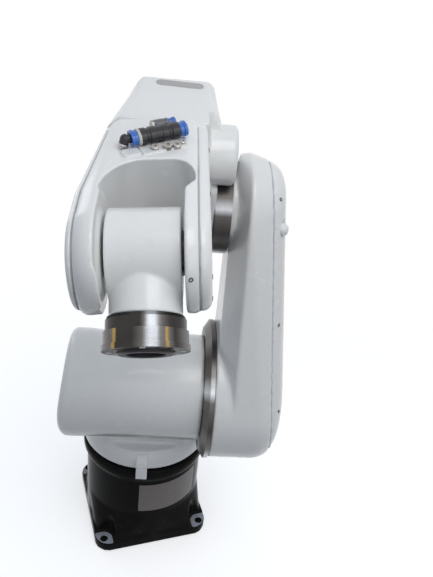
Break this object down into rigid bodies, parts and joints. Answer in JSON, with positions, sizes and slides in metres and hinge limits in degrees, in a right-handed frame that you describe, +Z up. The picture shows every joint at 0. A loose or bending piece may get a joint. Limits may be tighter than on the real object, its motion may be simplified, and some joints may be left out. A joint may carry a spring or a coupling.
{
  "type": "six-axis robot arm",
  "caption": "Small six-axis robot arm: square bolted foot, turret, side-mounted lower arm, offset forearm, forked wrist and steel tool flange, with an air fitting on the fork.",
  "frame": {"origin": "middle of the foot's underside, on the turning axis", "axes": "+Z up along the turning axis, -Y to the front of the foot, +X to the right seen from the front"},
  "size_m": [0.3312, 0.5207, 0.7379],
  "materials": {
    "white_paint": "gloss off-white paint on cast aluminium",
    "black_paint": "gloss black paint on cast iron",
    "rubber": "matt black seal",
    "panel": "plain sheet",
    "steel": "turned bright",
    "dark_steel": "turned, oiled dark",
    "black_plastic": "moulded black",
    "blue_plastic": "moulded blue"
  },
  "bodies": {
    "base": {"base_casting": "black_paint", "base_seal": "rubber", "connector_panel": "panel", "power_socket": "black_plastic", "signal_socket": "black_plastic", "air_inlet": "steel"},
    "turret": {"turret_casting": "white_paint", "turret_tab": "white_paint", "shoulder_ring": "steel"},
    "lower_arm": {"lower_arm_casting": "white_paint", "lower_arm_cover": "white_paint", "lower_arm_plug": "white_paint"},
    "elbow": {"elbow_ring": "dark_steel", "elbow_housing": "white_paint", "elbow_boss": "white_paint"},
    "fork": {"fork_casting": "white_paint", "fork_left_cover": "white_paint", "fork_right_cover": "white_paint", "fitting_bracket": "steel", "fitting_body": "black_plastic", "fitting_left_collar": "blue_plastic", "fitting_right_collar": "blue_plastic", "fitting_branch": "black_plastic", "fitting_branch_collar": "blue_plastic", "fitting_elbow": "dark_steel"},
    "wrist": {"wrist_housing": "white_paint", "wrist_left_pin": "steel", "wrist_right_pin": "steel", "wrist_ring": "steel"},
    "flange": {"tool_flange": "steel", "flange_sleeve": "black_plastic"}
  },
  "joints": [
    {"name": "turret_turn", "type": "hinge", "parent": "base", "child": "turret", "pos_m": [0, 0, 0.168], "axis": [0, 0, 1], "range_deg": [-154.2, 185.8]},
    {"name": "shoulder_swing", "type": "hinge", "parent": "turret", "child": "lower_arm", "pos_m": [-0.02246, -0.07938, 0.3235], "axis": [0.9622, -0.2723, 0], "range_deg": [-94.3, 85.7]},
    {"name": "elbow_swing", "type": "hinge", "parent": "lower_arm", "child": "elbow", "pos_m": [-0.01516, -0.05358, 0.59217], "axis": [-0.9622, 0.2723, 0], "range_deg": [-50.1, 223.9]},
    {"name": "forearm_roll", "type": "hinge", "parent": "elbow", "child": "fork", "pos_m": [-0.04272, -0.13629, 0.67328], "axis": [-0.2688, -0.9498, -0.1599], "range_deg": [-196, 184]},
    {"name": "wrist_bend", "type": "hinge", "parent": "fork", "child": "wrist", "pos_m": [-0.08788, -0.29586, 0.64642], "axis": [0.9524, -0.2869, 0.1032], "range_deg": [-158.6, 81.4]},
    {"name": "tool_roll", "type": "hinge", "parent": "wrist", "child": "flange", "pos_m": [-0.09624, -0.34205, 0.59517], "axis": [-0.1203, -0.6646, -0.7374], "range_deg": [-360, 360]}
  ]
}
